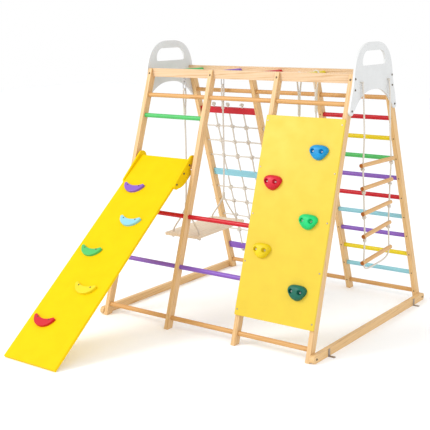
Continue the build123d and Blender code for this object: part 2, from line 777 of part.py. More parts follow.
with BuildPart() as ladder_bars:
    for number in range(len(LADDER_LEVELS)):
        ends = [ladder_point(number, half * LADDER_RUNG_LENGTH / 2) for half in (-1, 1)]
        rod(*[(x, y + mid_y, z) for x, y, z in ends], LADDER_RUNG)
    for number in range(len(LADDER_LEVELS)):
        for side in (-1, 1):
            x, y, z = ladder_point(number, side * LADDER_ROPE_Y)
            with Locations((x, y + mid_y, z)):
                Cylinder(ladder_radius + LADDER_HOLE_PLAY, 2 * LADDER_RUNG, mode=Mode.SUBTRACT)
ladder_bars.part.label = "rope_ladder_rungs"
export_step(ladder_bars.part, "parts/rope_ladder_rungs.step")


def ladder_drop(side):
    """The rope from its hole in the end plate down through the rungs."""
    top = [
        (LADDER_PIVOT_X, side * LADDER_HOLE_Y, LADDER_PIVOT_Z - 6.4),
        (LADDER_PIVOT_X + 5, side * (LADDER_HOLE_Y - 0.5), 1262),
        (LADDER_PIVOT_X + 9, side * (LADDER_HOLE_Y - 2), 1150),
        (LADDER_X, side * (LADDER_HOLE_Y - 4), 1020),
    ]
    return top + [ladder_point(number, side * LADDER_ROPE_Y) for number in range(5)]


def ladder_sling():
    """The rope's return under the lowest rung, from its near hole to its far one."""
    return [
        (LADDER_X - 1, -143, 372),
        (LADDER_X, -129, 357),
        (LADDER_X, -104, 352),
        (LADDER_X, -50, 353),
        (LADDER_X, 20, 356),
        (LADDER_X, 80, 360),
        (LADDER_X, 119, 369),
        (LADDER_X + 1, 139, 388),
    ]


near = ladder_drop(-1)
far = ladder_drop(1)
ladder_route = rope_tube(near + ladder_sling() + far[::-1], LADDER_ROPE)
with BuildPart() as ladder_rope:
    add(ladder_route)
    for number in range(4):
        for side in (-1, 1):
            drop = LADDER_RUNG / 2 + LADDER_KNOT + 0.5
            x, y, z = ladder_point(number, side * LADDER_ROPE_Y, drop)
            with Locations((x, y + mid_y, z)):
                Sphere(LADDER_KNOT)
ladder_rope.part.label = "rope_ladder_rope"
export_step(ladder_rope.part, "parts/rope_ladder_rope.step")

# The ladder's rope ends pass through the end plate and are knotted behind it.
with BuildPart() as anchors:
    for side in (-1, 1):
        y = mid_y + side * LADDER_HOLE_Y
        inner = frame_end - LADDER_KNOT - FIT
        rod((inner, y, LADDER_PIVOT_Z), (LADDER_PIVOT_X, y, LADDER_PIVOT_Z), LADDER_ROPE)
        with Locations(Plane(origin=(LADDER_PIVOT_X, y, LADDER_PIVOT_Z), z_dir=(1, 0, 0))):
            Sphere(6)
        with Locations(Plane(origin=(inner, y, LADDER_PIVOT_Z), z_dir=(1, 0, 0))):
            Sphere(LADDER_KNOT)
anchors.part.label = "rope_ladder_anchors"
export_step(anchors.part, "parts/rope_ladder_anchors.step")

# ---------------------------------------------------------------- gym rings
ring_x = bar_x[3]
ring_rope_radius = RING_ROPE / 2
bar_eye = rung_radius + ring_rope_radius + 0.5
grip_eye = RING_GRIP / 2 + ring_rope_radius + 0.5
ring_axis = (RING_DIAMETER - RING_GRIP) / 2
grip_z = RING_CENTRE_Z + ring_axis
lower_splice = grip_z + 70.0


def eye_route(y, splice_z, around_z, radius):
    """A spliced eye: from the splice, seven eighths of the way round a bar, and back."""
    up = 1 if around_z > splice_z else -1
    corner = radius / cos(pi / 8)
    turns = [radians(45 * step) for step in range(-1, 6)]
    loop = [(ring_x + corner * cos(turn), y, around_z + up * corner * sin(turn)) for turn in turns]
    ends = [(ring_x + side * 4.7, y, splice_z - up * 8) for side in (1, -1)]
    return [ends[0]] + loop + [ends[1]]


for name, side in (("front", -1), ("rear", 1)):
    y = side * RING_ROPE_Y
    upper = rope_tube(eye_route(y, RING_SPLICE_TOP, beam_z, bar_eye), RING_ROPE)
    lower = rope_tube(eye_route(y, lower_splice, grip_z, grip_eye), RING_ROPE)
    drop = [
        (ring_x, y, RING_SPLICE_BOTTOM + 6),
        (ring_x + 1.5, y + side * 1.5, (RING_SPLICE_BOTTOM + lower_splice + 40) / 2),
        (ring_x, y, lower_splice + 34),
    ]
    single = rope_tube(drop, RING_ROPE)
    with BuildPart() as rope:
        add([upper, lower, single])
        centre = (ring_x, mid_y + y)
        rod((*centre, RING_SPLICE_BOTTOM), (*centre, RING_SPLICE_TOP), 1.7 * RING_ROPE)
        rod((*centre, lower_splice), (*centre, lower_splice + 40), 1.7 * RING_ROPE)
    rope.part.label = f"gym_ring_rope_{name}"
    export_step(rope.part, f"parts/{rope.part.label}.step")

    with BuildPart() as ring:
        with Locations(facing(ring_x, y, RING_CENTRE_Z, (1, 0, 0))):
            Torus(ring_axis, RING_GRIP / 2)
    ring.part.label = f"gym_ring_{name}"
    export_step(ring.part, f"parts/{ring.part.label}.step")
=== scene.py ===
from math import atan2, cos, pi, radians, sin, sqrt

import bmesh
import bpy
from mathutils import Euler, Matrix, Vector


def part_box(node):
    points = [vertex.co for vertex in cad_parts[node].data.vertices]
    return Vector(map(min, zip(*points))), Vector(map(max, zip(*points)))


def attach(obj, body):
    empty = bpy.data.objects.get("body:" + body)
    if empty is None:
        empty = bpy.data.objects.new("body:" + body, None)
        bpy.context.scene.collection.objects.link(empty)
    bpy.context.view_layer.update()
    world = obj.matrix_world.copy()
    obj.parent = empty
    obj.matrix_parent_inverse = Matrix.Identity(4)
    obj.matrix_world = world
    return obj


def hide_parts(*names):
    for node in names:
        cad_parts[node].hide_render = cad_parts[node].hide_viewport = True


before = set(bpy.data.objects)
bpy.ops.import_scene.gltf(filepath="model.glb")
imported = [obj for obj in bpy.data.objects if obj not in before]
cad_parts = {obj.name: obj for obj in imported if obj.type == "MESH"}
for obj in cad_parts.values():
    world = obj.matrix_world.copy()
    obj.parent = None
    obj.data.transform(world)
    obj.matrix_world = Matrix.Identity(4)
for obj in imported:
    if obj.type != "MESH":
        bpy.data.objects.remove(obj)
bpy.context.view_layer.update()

# ---------------------------------------------------------------- places read from the frame (metres)
leg_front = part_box("leg_front_1")
leg_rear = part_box("leg_rear_1")
MID_Y = (leg_front[0][1] + leg_rear[1][1]) / 2
BASE_HALF = (leg_rear[1][1] - leg_front[0][1]) / 2
FRAME_HEIGHT = leg_front[1][2]
TOP_HALF = 0.208  # from the A-frame's centre to the outside of a leg's top
LEAN = (BASE_HALF - TOP_HALF) / FRAME_HEIGHT
LEAN_ANGLE = atan2(BASE_HALF - TOP_HALF, FRAME_HEIGHT)
LEG_WIDTH = leg_front[1][0] - leg_front[0][0]
LEG_DEPTH = 0.042
LEG_RUN = LEG_DEPTH / cos(LEAN_ANGLE)


def middle(node):
    """The centre of a node's box."""
    low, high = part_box(node)
    return (Vector(low) + Vector(high)) / 2


def at(x, y, z):
    """A point given from the A-frame's centre on the floor."""
    return Vector((x, y + MID_Y, z))


# ---------------------------------------------------------------- materials
class Surface:
    """A material's node tree, with short calls to add nodes and join them."""

    def __init__(self, name, **settings):
        self.material = bpy.data.materials.new(name)
        self.material.use_nodes = True
        self.tree = self.material.node_tree
        self.shader = self.tree.nodes["Principled BSDF"]
        self.place = self.add("TexCoord").outputs["Object"]
        self.set(self.shader, **settings)

    def add(self, kind, **inputs):
        """A new shader node with its inputs set."""
        node = self.tree.nodes.new("ShaderNode" + kind)
        self.set(node, **inputs)
        return node

    def set(self, node, **inputs):
        """Sets or links a node's inputs, spaces in their names written as underscores."""
        for name, value in inputs.items():
            socket = node.inputs[name.replace("_", " ")]
            if isinstance(value, bpy.types.NodeSocket):
                self.tree.links.new(value, socket)
            else:
                socket.default_value = value

    def turned(self, angles, scale):
        """The object's own coordinates, turned and then stretched."""
        turn = self.add("VectorRotate", Vector=self.place)
        turn.rotation_type = "EULER_XYZ"
        self.set(turn, Rotation=angles)
        return self.add("Mapping", Vector=turn.outputs["Vector"], Scale=scale).outputs["Vector"]

    def noise(self, vector, scale, detail=3.0, rough=0.5):
        """Soft noise, from 0 to 1."""
        node = self.add("TexNoise", Vector=vector, Scale=scale, Detail=detail, Roughness=rough)
        return node.outputs["Fac"]

    def spread(self, factor, low, high, start=0.3, end=0.7):
        """A number that runs from low to high as the factor goes from start to end."""
        node = self.add("MapRange", Value=factor)
        self.set(node, From_Min=start, From_Max=end, To_Min=low, To_Max=high)
        return node.outputs["Result"]

    def ramp(self, factor, stops):
        """A colour that runs through the stops, each a place and a colour."""
        node = self.add("ValToRGB", Fac=factor)
        elements = node.color_ramp.elements
        while len(elements) < len(stops):
            elements.new(0.5)
        for element, (place, colour) in zip(elements, stops):
            element.position = place
            element.color = (*colour, 1)
        return node.outputs["Color"]

    def mix(self, factor, first, second):
        """A colour between two others."""
        node = self.add("Mix")
        node.data_type = "RGBA"
        colours = [socket for socket in node.inputs if socket.type == "RGBA"]
        for socket, value in ((node.inputs[0], factor), (colours[0], first), (colours[1], second)):
            if isinstance(value, bpy.types.NodeSocket):
                self.tree.links.new(value, socket)
            else:
                socket.default_value = value if socket.type != "RGBA" else (*value, 1)
        return next(socket for socket in node.outputs if socket.type == "RGBA")

    def bump(self, height, strength, distance, below=None):
        """A bumped normal, on top of another one where it is given."""
        node = self.add("Bump", Height=height, Strength=strength, Distance=distance)
        if below is not None:
            self.set(node, Normal=below)
        return node.outputs["Normal"]


def wood(name, angles, tint=(1.0, 1.0, 1.0)):
    """Clear-coated pine with its grain along the direction that the angles turn to Z."""
    made = Surface(name, Coat_Weight=0.12, Coat_Roughness=0.35, Specular_IOR_Level=0.4)
    grain_place = made.turned(angles, (1.0, 1.0, 0.045))
    rings = made.add("TexWave", Vector=grain_place, Scale=26.0, Distortion=5.5, Detail=3.0)
    made.set(rings, Detail_Scale=1.1, Detail_Roughness=0.55)
    rings.bands_direction = "DIAGONAL"
    fibre = made.noise(made.turned(angles, (1.0, 1.0, 0.02)), 420.0, 4.0, 0.6)
    patch = made.noise(made.turned(angles, (1.0, 1.0, 0.25)), 9.0, 2.0)
    tones = ((0.715, 0.475, 0.225), (0.655, 0.41, 0.172), (0.53, 0.295, 0.10))
    light, mid, dark = [[value * share for value, share in zip(tone, tint)] for tone in tones]
    grain = made.ramp(rings.outputs["Fac"], [(0.0, mid), (0.45, light), (0.86, light), (1.0, dark)])
    streaked = made.mix(made.spread(fibre, 0.0, 0.32), grain, mid)
    colour = made.mix(made.spread(patch, 0.0, 0.45, 0.35, 0.75), streaked, light)
    height = made.add("Math", Value=made.spread(fibre, 0.0, 1.0))
    height.operation = "MULTIPLY_ADD"
    made.tree.links.new(rings.outputs["Fac"], height.inputs[2])
    made.set(made.shader, Base_Color=colour, Roughness=made.spread(fibre, 0.42, 0.58))
    made.set(made.shader, Normal=made.bump(height.outputs["Value"], 0.25, 0.0002))
    return made.material


def painted(name, colour, angles, grain=0.35, roughness=0.34, gloss=1.0):
    """Painted wood: the paint is even, with faint grain below it and slight wear in its gloss."""
    made = Surface(name, Coat_Weight=0.07 * gloss, Coat_Roughness=0.2, Specular_IOR_Level=0.26 * gloss)
    fibre = made.noise(made.turned(angles, (1.0, 1.0, 0.04)), 260.0, 4.0, 0.6)
    cloud = made.noise(made.place, 14.0, 3.0)
    deep = [value * 0.88 for value in colour]
    shade = made.mix(made.spread(cloud, 0.0, 0.5), colour, deep)
    shade = made.mix(made.spread(fibre, 0.0, 0.22, 0.45, 0.8), shade, deep)
    peel = made.noise(made.place, 900.0, 2.0)
    soft = made.bump(peel, 0.06, 0.0001)
    made.set(made.shader, Base_Color=shade)
    made.set(made.shader, Roughness=made.spread(cloud, roughness - 0.05, roughness + 0.07))
    made.set(made.shader, Normal=made.bump(fibre, grain, 0.00015, soft))
    return made.material


def moulded(name, colour):
    """Cast resin of a climbing hold: finely gritty, with light and dark speckle."""
    made = Surface(name, Specular_IOR_Level=0.32)
    grit = made.noise(made.place, 700.0, 3.0, 0.7)
    speck = made.add("TexVoronoi", Vector=made.place, Scale=420.0).outputs["Distance"]
    cloud = made.noise(made.place, 35.0, 3.0)
    deep = [value * 0.72 for value in colour]
    pale = [min(1.0, value * 1.15 + 0.03) for value in colour]
    shade = made.mix(made.spread(cloud, 0.0, 0.7), colour, deep)
    shade = made.mix(made.spread(speck, 0.35, 0.0, 0.05, 0.3), shade, pale)
    made.set(made.shader, Base_Color=shade, Roughness=made.spread(cloud, 0.36, 0.52))
    made.set(made.shader, Normal=made.bump(grit, 0.35, 0.0003))
    return made.material


def twisted_thread(name, colour):
    """Soft cotton-like rope yarn: fine fibres, dusty creases and a little sheen."""
    made = Surface(name, Sheen_Weight=0.35, Sheen_Roughness=0.5, Specular_IOR_Level=0.2)
    fuzz = made.noise(made.place, 1400.0, 4.0, 0.7)
    cloud = made.noise(made.place, 60.0, 3.0)
    deep = [value * 0.78 for value in colour]
    shade = made.mix(made.spread(fuzz, 0.0, 0.55), colour, deep)
    pale = [min(1.0, value * 1.12) for value in colour]
    shade = made.mix(made.spread(cloud, 0.0, 0.35), shade, pale)
    made.set(made.shader, Base_Color=shade, Roughness=made.spread(cloud, 0.78, 0.92))
    made.set(made.shader, Normal=made.bump(fuzz, 0.5, 0.0004))
    return made.material


def metal(name, colour, roughness):
    """Plated steel with faint brushing and clouded gloss."""
    made = Surface(name, Metallic=1.0)
    brush = made.noise(made.turned((0, 0, 0), (1.0, 1.0, 0.05)), 1500.0, 3.0)
    cloud = made.noise(made.place, 180.0, 3.0)
    deep = [value * 0.7 for value in colour]
    made.set(made.shader, Base_Color=made.mix(made.spread(cloud, 0.0, 0.6), colour, deep))
    made.set(made.shader, Roughness=made.spread(cloud, roughness - 0.08, roughness + 0.1))
    made.set(made.shader, Normal=made.bump(brush, 0.2, 0.0001))
    return made.material


# Turns that bring the grain of a piece to Z
ALONG_X = (0.0, radians(90), 0.0)
ALONG_Y = (radians(90), 0.0, 0.0)
FRONT_LEAN = (LEAN_ANGLE, 0.0, 0.0)
REAR_LEAN = (-LEAN_ANGLE, 0.0, 0.0)

PAINTS = {
    "red": (0.54, 0.006, 0.016),
    "yellow": (0.74, 0.585, 0.008),
    "green": (0.07, 0.46, 0.12),
    "cyan": (0.255, 0.56, 0.665),
    "purple": (0.225, 0.098, 0.47),
}
HOLD_COLOURS = [
    (0.002, 0.125, 0.080),
    (0.76, 0.56, 0.001),
    (0.004, 0.58, 0.16),
    (0.62, 0.006, 0.026),
    (0.001, 0.27, 0.58),
]

leg_wood = {
    "front": wood("wood_front_legs", FRONT_LEAN, (0.96, 0.95, 0.98)),
    "rear": wood("wood_rear_legs", REAR_LEAN),
}
rail_wood = wood("wood_along_y", ALONG_Y)
beam_wood = wood("wood_along_x", ALONG_X, (0.96, 1.02, 1.34))
seat_wood = wood("wood_seat", ALONG_Y, (1.08, 1.38, 2.30))
ring_wood = wood("wood_gym_rings", ALONG_X)
rung_wood = wood("wood_rungs", ALONG_X, (0.86, 0.71, 0.52))
rod_wood = wood("wood_rope_ladder", ALONG_Y, (0.93, 0.84, 0.74))
end_stain = painted("stained_rung_ends", (0.42, 0.13, 0.025), ALONG_Y, 0.3, 0.4)
yellow_board = painted("yellow_board", (0.80, 0.535, 0.002), ALONG_X, 0.12, 0.45, 0.2)
wall_board = painted("yellow_wall_board", (0.70, 0.505, 0.040), ALONG_X, 0.12, 0.4, 0.8)
white_board = painted("white_board", (0.665, 0.67, 0.665), ALONG_Y, 0.1, 0.38)
rung_paint = {name: painted(f"paint_{name}", colour, ALONG_X) for name, colour in PAINTS.items()}
bar_paint = {name: painted(f"paint_bar_{name}", colour, ALONG_Y) for name, colour in PAINTS.items()}
rope_yarn = twisted_thread("rope_yarn", (0.66, 0.61, 0.54))
whip_thread = twisted_thread("whipping_thread", (0.70, 0.66, 0.58))
zinc = metal("zinc_steel", (0.62, 0.61, 0.60), 0.32)
bracket_steel = metal("bracket_steel", (0.40, 0.34, 0.30), 0.4)
dark_screw = metal("screw_steel", (0.15, 0.115, 0.08), 0.5)


def finish_node(name, material):
    """Gives a CAD node its material."""
    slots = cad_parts[name].data.materials
    slots.clear()
    slots.append(material)


for row in ("front", "rear"):
    for number in range(1, 5):
        finish_node(f"leg_{row}_{number}", leg_wood[row])
    finish_node(f"top_beam_{row}", beam_wood)
for name in ("rungs_bottom", "rungs_top", "rung_front_slide"):
    finish_node(name, rung_wood)
for name in ("base_rail_left", "base_rail_right"):
    finish_node(name, rail_wood)
for name in ("end_plate_left", "end_plate_right"):
    finish_node(name, white_board)
for name in ("slide_board", "slide_wing_left", "slide_wing_right"):
    finish_node(name, yellow_board)
finish_node("climbing_wall", wall_board)
for colour in ("purple", "red", "green"):
    finish_node(f"rung_front_{colour}", rung_paint[colour])
for colour, paint in rung_paint.items():
    finish_node(f"ladder_rungs_{colour}", paint)
for place, colour in (("top", "red"), ("middle", "cyan"), ("bottom", "purple")):
    finish_node(f"net_plank_{place}", rung_paint[colour])
for number, colour in enumerate(("green", "purple", "red", "yellow", "cyan")):
    finish_node(f"monkey_bar_{number + 1}", bar_paint[colour])
for name in ("swing_eye_bolts", "swing_links"):
    finish_node(name, zinc)
for name in ("floor_brackets", "wall_screws"):
    finish_node(name, bracket_steel)
for name in ("frame_bolts", "slide_screws"):
    finish_node(name, dark_screw)
for name in ("gym_ring_front", "gym_ring_rear"):
    finish_node(name, ring_wood)
finish_node("swing_seat", seat_wood)
finish_node("rope_ladder_rungs", rod_wood)


# ---------------------------------------------------------------- mesh helpers
STRANDS = 3
LAY_PITCH = 3.4  # length of one turn of the strands, in rope diameters
STRAND_DEPTH = 0.24  # how deep the grooves between strands reach, as a share of the radius
KNOT_THREAD = 0.36  # a knot's rope as a share of the knot's radius
KNOT_STEPS = 96
TREFOIL = (0.46, 0.24, 0.42)  # mean reach, swing of the reach and rise, as shares of the radius
THREAD_RIDGE = 0.0022
RINGS_PER_RIDGE = 6
BINDING_SIDES = 20
EYE_SINK = 0.008  # how far the ends of an eye run into its splice
ROPE_STEP = 0.0025
CLOSE_STEP = 0.002  # for ropes with tight bends


def piece(name, mesh, material, body, smooth=True):
    """Puts a mesh into the scene as a piece that rides on a body."""
    made = bpy.data.objects.new(name, mesh)
    bpy.context.collection.objects.link(made)
    mesh.materials.append(material)
    if smooth:
        mesh.polygons.foreach_set("use_smooth", [True] * len(mesh.polygons))
    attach(made, body)
    return made


def rings_mesh(name, rings, closed=False):
    """A skin over rings of equally many points, capped at its ends unless it closes on itself."""
    count = len(rings[0])
    total = len(rings)
    verts = [point for ring in rings for point in ring]
    faces = []
    for i in range(total if closed else total - 1):
        a = i * count
        b = (i + 1) % total * count
        for k in range(count):
            n = (k + 1) % count
            faces.append((a + k, a + n, b + n, b + k))
    if not closed:
        faces.append(tuple(range(count))[::-1])
        faces.append(tuple(range((total - 1) * count, total * count)))
    mesh = bpy.data.meshes.new(name)
    mesh.from_pydata(verts, [], faces)
    mesh.validate()
    return mesh


def smooth_line(name, route):
    """The smooth line of a route: a NURBS spline, read back as points."""
    curve = bpy.data.curves.new(name, "CURVE")
    curve.dimensions = "3D"
    curve.resolution_u = 10
    spline = curve.splines.new("NURBS")
    spline.points.add(len(route) - 1)
    for place, point in zip(spline.points, route):
        place.co = (*point, 1)
    spline.order_u = 3
    spline.use_endpoint_u = True
    holder = bpy.data.objects.new(name, curve)
    mesh = bpy.data.meshes.new_from_object(holder)
    line = [vertex.co.copy() for vertex in mesh.vertices]
    bpy.data.objects.remove(holder)
    bpy.data.meshes.remove(mesh)
    bpy.data.curves.remove(curve)
    return line


def even_steps(line, step):
    """The same line with points an even distance apart."""
    lengths = [(b - a).length for a, b in zip(line, line[1:])]
    total = sum(lengths)
    count = max(4, round(total / step))
    made = [line[0]]
    index = 0
    passed = 0.0
    for i in range(1, count):
        target = total * i / count
        while passed + lengths[index] < target:
            passed += lengths[index]
            index += 1
        made.append(line[index].lerp(line[index + 1], (target - passed) / lengths[index]))
    made.append(line[-1])
    return made


def laid_rope(line, diameter, sides=18, closed=False):
    """Rings of a rope of three strands laid round each other along a line."""
    pitch = LAY_PITCH * diameter
    rings = []
    count = len(line)
    ahead = [(line[(i + 1) % count] - line[i - 1]).normalized() for i in range(count)]
    if not closed:
        ahead[0] = (line[1] - line[0]).normalized()
        ahead[-1] = (line[-1] - line[-2]).normalized()
    normal = ahead[0].orthogonal().normalized()
    travelled = 0.0
    for i, point in enumerate(line):
        if i:
            travelled += (point - line[i - 1]).length
            normal = (normal - ahead[i] * normal.dot(ahead[i])).normalized()
        other = ahead[i].cross(normal)
        twist = 2 * pi * travelled / pitch
        ring = []
        for k in range(sides):
            turn = 2 * pi * k / sides
            lobe = sqrt(abs(cos(STRANDS / 2 * (turn - twist))))
            radius = diameter / 2 * (1 - STRAND_DEPTH + STRAND_DEPTH * lobe)
            ring.append(point + radius * (cos(turn) * normal + sin(turn) * other))
        rings.append(ring)
    return rings


def rope(name, route, diameter, body, step=ROPE_STEP):
    """A laid rope along a route, and the line that it follows."""
    line = even_steps(smooth_line(name + "_line", route), step)
    made = piece(name, rings_mesh(name, laid_rope(line, diameter)), rope_yarn, body)
    return made, line


def knot(name, centre, radius, body, tilt, thread=KNOT_THREAD):
    """A tied knot: a trefoil of rope that closes on itself."""
    turn = Euler(tilt).to_matrix()
    mean, swing, rise = TREFOIL
    line = []
    for i in range(KNOT_STEPS):
        t = 2 * pi * i / KNOT_STEPS
        out = mean + swing * cos(3 * t)
        local = Vector((out * cos(2 * t), out * sin(2 * t), rise * sin(3 * t)))
        line.append(Vector(centre) + turn @ (local * radius))
    rings = laid_rope(line, 2 * thread * radius, sides=12, closed=True)
    made = piece(name, rings_mesh(name, rings, closed=True), rope_yarn, body)
    return made


def bound_rope(name, centre, low, high, radius, body):
    """A splice or whipping: thread wound closely round upright rope."""
    rings = []
    steps = max(8, round((high - low) / THREAD_RIDGE * RINGS_PER_RIDGE))
    turns = [2 * pi * k / BINDING_SIDES for k in range(BINDING_SIDES)]
    for i in range(steps + 1):
        z = low + (high - low) * i / steps
        end = min(1.0, 0.55 + 12 * min(z - low, high - z) / (high - low))
        swell = radius * end * (0.95 + 0.05 * cos(2 * pi * (z - low) / THREAD_RIDGE))
        ring = [Vector((centre[0] + swell * cos(t), centre[1] + swell * sin(t), z)) for t in turns]
        rings.append(ring)
    made = piece(name, rings_mesh(name, rings), whip_thread, body)
    return made


def turned_disc(name, centre, direction, profile, material, body, sides=28):
    """A turned shape: (radius, height) steps about an axis."""
    axis = Vector(direction).normalized()
    across = axis.orthogonal().normalized()
    other = axis.cross(across)
    turns = [2 * pi * k / sides for k in range(sides)]
    rings = [
        [Vector(centre) + axis * h + r * (cos(t) * across + sin(t) * other) for t in turns]
        for r, h in profile
    ]
    return piece(name, rings_mesh(name, rings), material, body)


# ---------------------------------------------------------------- camera, fitted to the photo
AZIMUTH = radians(37.075)
PITCH = radians(6.343)
ROLL = radians(-0.743)
SENSOR = 36.0
FOCAL_WIDTHS = 2.18719
CAMERA_SHIFT = (0.0497, -0.218)
CAMERA_PLACE = (2.8437, -4.4199, 1.6545)
FARTHEST_SEEN = 60

forward = Vector((-sin(AZIMUTH) * cos(PITCH), cos(AZIMUTH) * cos(PITCH), -sin(PITCH)))
level = Vector((cos(AZIMUTH), sin(AZIMUTH), 0))
upright = level.cross(forward)
right = cos(ROLL) * level + sin(ROLL) * upright
up = cos(ROLL) * upright - sin(ROLL) * level

camera_data = bpy.data.cameras.new("camera")
camera_data.sensor_width = SENSOR
camera_data.lens = SENSOR * FOCAL_WIDTHS
camera_data.shift_x, camera_data.shift_y = CAMERA_SHIFT
camera_data.clip_end = FARTHEST_SEEN
camera = bpy.data.objects.new("camera", camera_data)
camera_turn = Matrix((right, up, -forward)).transposed()
camera.matrix_world = Matrix.Translation(at(*CAMERA_PLACE)) @ camera_turn.to_4x4()
bpy.context.collection.objects.link(camera)
bpy.context.scene.camera = camera

# ---------------------------------------------------------------- swing
SWING_X = middle("swing_links").x
SWING_Y = 0.188
SEAT_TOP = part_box("swing_seat")[1][2]
SEAT_THICKNESS = 0.014
SEAT_TURN = radians(4)
SEAT_HOLE = (0.089, 0.212)
LINK_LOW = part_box("swing_links")[0][2] + 0.006
SWING_ROPE = 0.010
SPLICE = (1.100, 1.140)
WHIPPING = (0.552, 0.592)
BINDING_RADIUS = 0.0092
SIDE_BY_SIDE = 0.0053  # from the middle to each of two ropes that lie together
EYE_BELLY = 0.0125
EYE_TOP = 0.0095
SEAT_KNOT = 0.011
# The single rope's sway to the side, its sway along the swing, and height
DROP_POINTS = (
    (0.0, 0.0, 1.106),
    (0.0015, 0.002, 0.980),
    (0.0025, 0.0035, 0.860),
    (0.002, 0.003, 0.740),
    (0.0, 0.0, 0.586),
)
LEG_TOP = 0.557
# Shares of a leg's way to its seat hole, across and along the swing, and height
LEG_BENDS = ((0.33, 0.28, 0.513), (0.74, 0.68, 0.463))


def seat_hole(x, y):
    """A rope hole of the twisted seat, from the A-frame's centre."""
    return SWING_X + x * cos(SEAT_TURN) - y * sin(SEAT_TURN), x * sin(SEAT_TURN) + y * cos(SEAT_TURN)


for row, side in (("front", -1), ("rear", 1)):
    y = side * SWING_Y
    node = f"swing_rope_{row}"
    eye_top = LINK_LOW + 0.004
    eye_route = [
        at(SWING_X, y - SIDE_BY_SIDE, SPLICE[1] - EYE_SINK),
        at(SWING_X, y - EYE_BELLY, SPLICE[1] + 0.050),
        at(SWING_X, y - EYE_TOP, eye_top),
        at(SWING_X, y + EYE_TOP, eye_top),
        at(SWING_X, y + EYE_BELLY, SPLICE[1] + 0.050),
        at(SWING_X, y + SIDE_BY_SIDE, SPLICE[1] - EYE_SINK),
    ]
    eye, _ = rope(f"{node}_eye", eye_route, SWING_ROPE, "swing", CLOSE_STEP)
    splice = bound_rope(f"{node}_splice", at(SWING_X, y, 0), *SPLICE, BINDING_RADIUS, "swing")
    whipping = bound_rope(f"{node}_whipping", at(SWING_X, y, 0), *WHIPPING, BINDING_RADIUS, "swing")
    drop_route = [at(SWING_X + across, y + along, z) for across, along, z in DROP_POINTS]
    drop, drop_line = rope(f"{node}_drop", drop_route, SWING_ROPE, "swing")
    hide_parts(node)
    for piece_on_rope in (eye, splice, whipping):
        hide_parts(node)
    for end, hole_x in (("left", -SEAT_HOLE[0]), ("right", SEAT_HOLE[0])):
        hx, hy = seat_hole(hole_x, side * SEAT_HOLE[1])
        toward = 1 if hx > SWING_X else -1
        leg_route = [at(SWING_X + toward * SIDE_BY_SIDE, y, LEG_TOP)]
        for across, along, z in LEG_BENDS:
            leg_route.append(at(SWING_X + across * (hx - SWING_X), y + along * (hy - y), z))
        leg_route.append(at(hx, hy, SEAT_TOP + 0.012))
        leg_route.append(at(hx, hy, SEAT_TOP - SEAT_THICKNESS - SEAT_KNOT))
        leg, leg_line = rope(f"{node}_{end}_leg", leg_route, SWING_ROPE, "swing")
        tilt = (0.4, 0.2, hole_x * 9)
        tied = knot(f"{node}_{end}_knot", leg_route[-1], SEAT_KNOT, "swing", tilt)
        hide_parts(node)
        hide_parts(node)

# ---------------------------------------------------------------- rope ladder
LADDER_ROPE = 0.009
LADDER_X = 0.695
LADDER_PIVOT_X = 0.684
LADDER_PIVOT_Z = 1.314
LADDER_DROP_START = 0.0064  # how far below the pivot the swinging rope begins
LADDER_HOLE_Y = 0.152
LADDER_ROPE_Y = 0.145
LADDER_RUNG = 0.022
LADDER_RUNG_LENGTH = 0.325
LADDER_LEVELS = (0.894, 0.778, 0.652, 0.538, 0.402)
LADDER_YAW = (4.0, 1.5, 0.0, -1.5, 0.5)
LADDER_TILT = (0.2, 0.8, 2.0, 3.0, 4.0)
LADDER_KNOT = 0.009
KNOT_SWELL = 0.003  # how far a tied knot's loops stand out from its round core
BEND_KNOT = 0.0065
BEND_THREAD = 0.45


def ladder_point(number, along_rung, below=0.0):
    """A point on a rope ladder rung's axis; the rungs hang a little askew."""
    yaw = radians(LADDER_YAW[number])
    tilt = radians(LADDER_TILT[number])
    height = LADDER_LEVELS[number] + along_rung * sin(tilt) - below
    return at(LADDER_X + along_rung * sin(yaw), along_rung * cos(yaw), height)


def ladder_drop(side):
    """The rope from its hole in the end plate down through the rungs."""
    top = [
        at(LADDER_PIVOT_X, side * LADDER_HOLE_Y, LADDER_PIVOT_Z - LADDER_DROP_START),
        at(LADDER_PIVOT_X + 0.005, side * (LADDER_HOLE_Y - 0.0005), 1.262),
        at(LADDER_PIVOT_X + 0.009, side * (LADDER_HOLE_Y - 0.002), 1.150),
        at(LADDER_X, side * (LADDER_HOLE_Y - 0.004), 1.020),
    ]
    return top + [ladder_point(number, side * LADDER_ROPE_Y) for number in range(len(LADDER_LEVELS))]


ladder_sling = [
    at(LADDER_X - 0.001, -0.143, 0.372),
    at(LADDER_X, -0.129, 0.357),
    at(LADDER_X, -0.104, 0.352),
    at(LADDER_X, -0.050, 0.353),
    at(LADDER_X, 0.020, 0.356),
    at(LADDER_X, 0.080, 0.360),
    at(LADDER_X, 0.119, 0.369),
    at(LADDER_X + 0.001, 0.139, 0.388),
]
ladder_route = ladder_drop(-1) + ladder_sling + ladder_drop(1)[::-1]
ladder_rope, ladder_line = rope("rope_ladder_cord", ladder_route, LADDER_ROPE, "rope_ladder")
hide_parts("rope_ladder_rope")
for number in range(len(LADDER_LEVELS) - 1):
    for name, side in (("near", -1), ("far", 1)):
        drop = LADDER_RUNG / 2 + LADDER_KNOT + 0.0005
        place = ladder_point(number, side * LADDER_ROPE_Y, drop)
        tilt = (0.5 * number, 0.3 * side, 0.9 * number + side)
        knot_name = f"rope_ladder_{name}_knot_{number + 1}"
        knot(knot_name, place, LADDER_KNOT + KNOT_SWELL, "rope_ladder", tilt)
        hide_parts("rope_ladder_rope")
plate_low, plate_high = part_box("end_plate_right")
